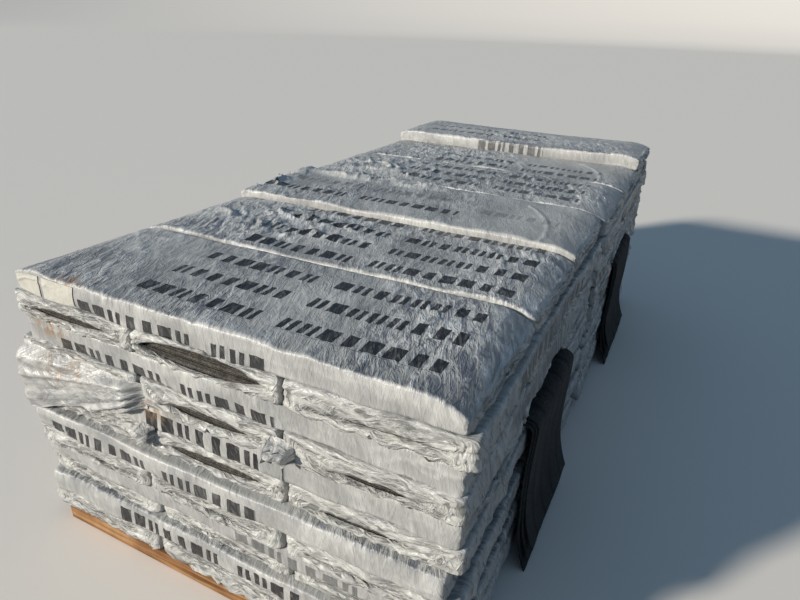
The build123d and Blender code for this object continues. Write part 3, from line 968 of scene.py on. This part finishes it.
# Each flap's left and right, the depths of its top edge and of its bottom edge below the stack's top at both,
# how far it bulges and folds, the place that its folds run to, the course that it hangs from, its seed, and
# how crumpled it is.
FLAPS = (
    (-0.030, 0.340, (0.166, 0.176), (0.335, 0.232), 0.015, 1.8, (0.42, 0.17), 9, 3, 0.30),
    (0.646, 0.694, (0.180, 0.182), (0.222, 0.216), 0.009, 2.8, (0.76, 0.19), 9, 61, 0.55),
    (0.318, 0.352, (0.268, 0.270), (0.306, 0.306), 0.010, 2.6, (0.36, 0.28), 7, 65, 0.55),
)


def grid_normals(grid):
    """The unit normals of a grid of points, on the side from which it is seen to run right and up."""
    normal = np.cross(np.gradient(grid, axis=0), np.gradient(grid, axis=1))
    return normal / np.linalg.norm(normal, axis=2)[..., None]


def shell_faces(rows, columns):
    """Quads of a closed thin shell, its two sides and its rim. Its points are a grid on one side and then the
    same grid on the other."""
    i, j = (x.ravel() for x in np.meshgrid(np.arange(rows - 1), np.arange(columns - 1), indexing="ij"))
    k, other = i * columns + j, rows * columns
    sides = [np.stack([k, k + columns, k + columns + 1, k + 1], axis=1),
             np.stack([k, k + 1, k + columns + 1, k + columns], axis=1) + other]
    edge = [*range(columns), *range(2 * columns - 1, other, columns)]
    edge += [*range(other - 2, other - columns - 1, -1), *range(other - 2 * columns, 0, -columns)]
    rim = [(a, b, b + other, a + other) for a, b in zip(edge, edge[1:] + edge[:1])]
    return np.concatenate(sides), np.array(rim)


def film_flap(left, right, tops, bottoms, bulge, folds, apex, course, seed):
    """A flap's grid of points, their places on the film, and how hollow each lies."""
    n = max(8, int((right - left) / FLAP_GRID))
    m = max(8, int(max(bottoms[0] - tops[0], bottoms[1] - tops[1]) / FLAP_GRID))
    s, t = np.meshgrid(np.linspace(0, 1, n), np.linspace(0, 1, m), indexing="ij")
    x = left + (right - left) * s
    depth = (tops[0] + (tops[1] - tops[0]) * s) * (1 - t) + (bottoms[0] + (bottoms[1] - bottoms[0]) * s) * t
    depth += 0.010 * perlin(s * 5, 0 * s + 0.3, seed) * t
    turn, away = np.arctan2(depth - apex[1], apex[0] - x), np.hypot(depth - apex[1], apex[0] - x)
    rise = smooth_step(t, 0, 0.22) * smooth_step(1 - s, 0, 0.12)
    creases = 0.0050 * crease(turn * 9, away * 1.6, seed + 1, 0.24)
    creases += 0.0026 * crease(turn * 19, away * 3.5, seed + 2, 0.26)
    out = (0.010 + bulge * np.sin(np.pi * (0.15 + 0.6 * t)) * (1 - 0.5 * s)) * rise
    out += folds * (creases + 0.003 * perlin(turn * 5, away * 5, seed + 3)) * rise
    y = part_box(f"front_course_{course:02d}_wrappers")[0].y + 0.003 - out
    round_the_corner = 0.040 * np.clip((left + 0.015 - x) / 0.015, 0, 1) * (left < 0)
    grid = np.stack([front_corner.x + x, y + round_the_corner, front_corner.z - depth], axis=2)
    # the last value is how hollow each point lies, for the painted shade in the film's hollows
    return grid, np.stack([0.3 + turn * 0.15, away], axis=2), 0.8 * (1 - smooth_step(creases, 0.0006, 0.0040))


points, faces, uvs, crumples, hollows, count = [], [], [], [], [], 0
for *shape, seed, crumpled in FLAPS:
    grid, places, flap_hollow = film_flap(*shape, seed)
    sides, rim = shell_faces(*grid.shape[:2])
    # with its rim turned round, the smooth sheet's edge stays crisp
    flap_faces = np.concatenate([sides, rim[:, ::-1]])
    # the grid runs right and down, so its normals point backward
    points += [(grid - grid_normals(grid) * FLAP_THICKNESS).reshape(-1, 3), grid.reshape(-1, 3)]
    faces.append(flap_faces + count)
    uvs.append(np.concatenate([places.reshape(-1, 2)] * 2)[flap_faces.ravel()] + seed)
    hollows += [flap_hollow.ravel()] * 2
    crumples.append(np.full(2 * places[..., 0].size, crumpled))
    count += 2 * places[..., 0].size
points, uvs = np.concatenate(points), np.concatenate(uvs)
piece = mesh_piece("loose_film", points, faces, True, uvs={"film": uvs, "print": np.zeros_like(uvs)},
                   values={"ink": np.zeros(count), "crumple": np.concatenate(crumples),
                           "gather": np.full(count, FLAP_GATHER), "hollow": np.concatenate(hollows),
                           "stain": stains_on(points)})
fit(piece, printed_film)


# Hanging shingles: single mats that slid out of a torn bundle end on each load's right-hand side.
# They bend over the courses below, hang to the ground and curl outward at the bottom. Each is an
# asphalt mat with granules, with the edges of its laminated strip running along it.
MATS = 3
MAT_THICKNESS = 0.003
MAT_GAP = 0.0005
MAT_SHORTER = 0.026
MAT_ASIDE = 0.009
MAT_COLUMNS = 29
GROUND_CLEARANCE, SIDE_CLEARANCE = 0.001, 0.0095
BEND_RADIUS, CURL_RADIUS = 0.016, 0.330
CURL_ANGLE = math.radians(24)
STRIP_THICKNESS, STRIP_FROM = 0.0006, 0.02


def mat_path(number, height, reach):
    """Places down the middle of one hanging mat from its pack's end: x, z and the direction across it."""
    step = number * (MAT_THICKNESS + MAT_GAP)
    bend, curl = BEND_RADIUS + step, CURL_RADIUS - step
    curl_drop = (curl + MAT_THICKNESS / 2) * math.sin(CURL_ANGLE)
    straight = height + step - bend - curl_drop - GROUND_CLEARANCE - number * MAT_SHORTER
    path = [(-0.006, step, 0, 1), (reach, step, 0, 1)]
    for angle in np.linspace(0, math.pi / 2, 7)[1:]:
        sin, cos = math.sin(angle), math.cos(angle)
        path.append((reach + bend * sin, step - bend + bend * cos, sin, cos))
    x, z = path[-1][:2]
    path += [(x, z - drop, 1, 0) for drop in np.linspace(0, straight, 27)[1:]]
    for angle in np.linspace(0, CURL_ANGLE, 19)[1:]:
        sin, cos = math.sin(angle), math.cos(angle)
        path.append((x + curl * (1 - cos), z - straight - curl * sin, cos, sin))
    return np.array(path)


hanging_mat, make = new_material("hanging_mat", 0.9, 0.3)
place = make("ShaderNodeTexCoord").outputs["Object"]
granules = make("ShaderNodeTexVoronoi", {"Vector": place, "Scale": 520})
speckle = make("ShaderNodeSeparateColor", {"Color": granules.outputs["Color"]}).outputs["Red"]
clouds = make("ShaderNodeTexNoise", {"Vector": place, "Scale": 14, "Detail": 5}).outputs["Fac"]
shade = math_node(make, "MULTIPLY", math_node(make, "ADD", speckle, clouds), 0.5)
mat_tone = color_ramp(make, shade, [
    (0.15, (0.008, 0.009, 0.011)), (0.5, (0.026, 0.030, 0.032)), (0.85, (0.085, 0.088, 0.085)),
])
mat_uv = make("ShaderNodeUVMap", uv_map="mat").outputs["UV"]
bands = make("ShaderNodeTexWave", {"Vector": mat_uv, "Scale": 4.2, "Distortion": 0.4, "Detail": 2},
             wave_type="BANDS", bands_direction="Y").outputs["Fac"]
mat_tone = over(mat_tone, (0.008, 0.009, 0.010), ramp_of(bands, 0.86, 0.97), 0.7)
dress(hanging_mat, make, mat_tone, granules.outputs["Distance"], 0.7, 0.001)

for load in LOADS:
    torn_low, torn_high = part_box(f"{load}_course_{TORN_COURSE:02d}_wrappers")
    pack_end = torn_low.x + FILM_END + SHINGLE_LENGTH
    middle_y = (torn_low.y + torn_high.y) / 2
    start_z = torn_low.z + (torn_high.z - torn_low.z) / 3
    side = max(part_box(f"{load}_course_{course:02d}_wrappers")[1].x for course in range(1, TORN_COURSE))
    reach = max(side + SIDE_CLEARANCE + MAT_THICKNESS / 2 - BEND_RADIUS - pack_end, MAT_THICKNESS)
    points, faces, uvs = [], [], []
    for number in range(MATS):
        path = mat_path(number, start_z, reach)
        x, z, across_x, across_z = (column[:, None] for column in path.T)
        along = np.concatenate([[0], np.cumsum(np.hypot(*np.diff(path[:, :2], axis=0).T))])
        columns = np.linspace(-SHINGLE_WIDTH / 2, SHINGLE_WIDTH / 2, MAT_COLUMNS)
        run, y = np.meshgrid(along, columns, indexing="ij")
        wave = smooth_step(run, 0.05, 0.2) * 0.0022 * perlin(y * 9, run * 5, 5)
        wave *= 1 + 1.5 * smooth_step(run, 0.25, 0.4)
        edge = 0.0010 * perlin(run * 30, 0 * y + number, 9)
        mat_faces = np.concatenate(shell_faces(*run.shape))
        faces.append(mat_faces + sum(len(own) for own in points))
        uvs.append(np.concatenate([np.stack([run, y], axis=2).reshape(-1, 2)] * 2)[mat_faces.ravel()])
        for off in (wave + MAT_THICKNESS / 2 * 0.93 + STRIP_THICKNESS * (y > STRIP_FROM),
                    wave - MAT_THICKNESS / 2 * 0.93):
            aside = (number - 1) * MAT_ASIDE + edge
            mat_side = np.stack([x + across_x * off, y + aside, z + across_z * off], axis=2).reshape(-1, 3)
            points.append(mat_side + np.array([pack_end, middle_y, start_z]))
    piece = mesh_piece(f"{load}_hanging_mats", settle(np.concatenate(points)), faces, False,
                       uvs={"mat": np.concatenate(uvs)})
    fit(piece, hanging_mat, f"{load}_hanging_shingles")


# Paper label: two plain cream sheets stuck side by side on the front of the first bundle, at its
# left end. They follow the film that they are stuck to.
SHEETS = ((0.012, 0.084), (0.090, 0.190))
PAPER_INNER, PAPER_OUTER = 0.0008, 0.0016

cream_paper, make = new_material("cream_paper", 0.8, 0.3)
place = make("ShaderNodeTexCoord").outputs["Object"]
fibres = make("ShaderNodeTexNoise", {"Vector": place, "Scale": 60, "Detail": 6}).outputs["Fac"]
dress(cream_paper, make, color_ramp(make, fibres, [(0.35, (0.60, 0.57, 0.49)), (0.6, (0.70, 0.67, 0.59))]))

p, starts, stations = labelled_film.p, labelled_film.starts, labelled_film.stations
film_grid = labelled_film.points[:len(stations) * len(p)].reshape(len(stations), len(p), 3)
on_front = np.flatnonzero((p > starts[2]) & (p < starts[3] + 0.0005))
points, faces = [], []
for left, right_end in SHEETS:
    grid = film_grid[np.ix_(np.flatnonzero((stations >= left) & (stations <= right_end)), on_front)]
    normals = grid_normals(grid)
    faces.append(np.concatenate(shell_faces(*grid.shape[:2])) + sum(len(own) for own in points))
    points += [(grid + normals * lift).reshape(-1, 3) for lift in (PAPER_OUTER, PAPER_INNER)]
piece = mesh_piece("label_sheets", np.concatenate(points), faces, False)
fit(piece, cream_paper, "paper_label")
